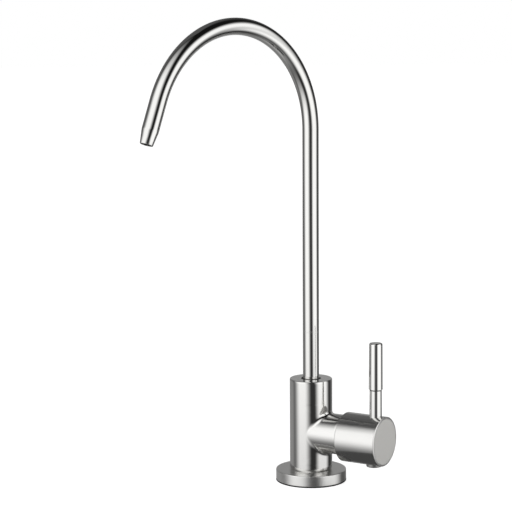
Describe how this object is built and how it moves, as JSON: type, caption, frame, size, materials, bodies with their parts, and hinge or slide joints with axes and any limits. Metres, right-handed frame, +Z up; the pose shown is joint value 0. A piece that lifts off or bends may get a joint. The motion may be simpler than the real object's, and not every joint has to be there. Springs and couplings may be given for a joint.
{
  "type": "drinking water filter tap",
  "caption": "Slim worktop tap for filtered drinking water: round body with a side lever barrel on a ceramic quarter-turn cartridge, swivelling swan-neck spout and threaded shank.",
  "frame": {"origin": "on the shank's axis at the worktop face, the underside of the base gasket", "axes": "+Z up along the body and shank, +X along the branch towards the handle, -Y to the front, where the spout reaches"},
  "size_m": [0.0826, 0.1465, 0.3253],
  "materials": {
    "body_steel": "brushed, satin",
    "tube_steel": "fine satin",
    "brass": "machined",
    "rubber": "moulded",
    "ceramic": "lapped",
    "acetal": "moulded",
    "spring_steel": "plain",
    "nylon": "moulded"
  },
  "bodies": {
    "base": {"tap_body": "body_steel", "base_flange": "body_steel", "base_gasket": "rubber", "shank": "brass", "shank_o_ring": "rubber", "rubber_washer": "rubber", "steel_washer": "spring_steel", "lock_washer": "spring_steel", "fixing_nut": "brass", "inlet_nut": "brass", "inlet_olive": "nylon", "cartridge_housing": "brass", "cartridge_o_ring": "rubber", "seat_seal": "rubber", "fixed_disc": "ceramic", "spout_bush": "acetal", "spout_lock_screw": "spring_steel"},
    "spout": {"spout_tube": "tube_steel", "spout_end": "brass", "spout_o_rings": "rubber"},
    "handle": {"handle_barrel": "body_steel", "lever": "tube_steel", "handle_screw": "spring_steel", "screw_plug": "body_steel", "spindle": "brass", "spindle_o_rings": "rubber", "spindle_clip": "spring_steel", "moving_disc": "ceramic"}
  },
  "joints": [
    {"name": "spout_swivel", "type": "hinge", "parent": "base", "child": "spout", "pos_m": [0, 0, 0.0611], "axis": [0, 0, 1], "continuous": true},
    {"name": "handle_turn", "type": "hinge", "parent": "base", "child": "handle", "pos_m": [0.0233, 0, 0.02885], "axis": [1, 0, 0], "range_deg": [0, 90]}
  ]
}
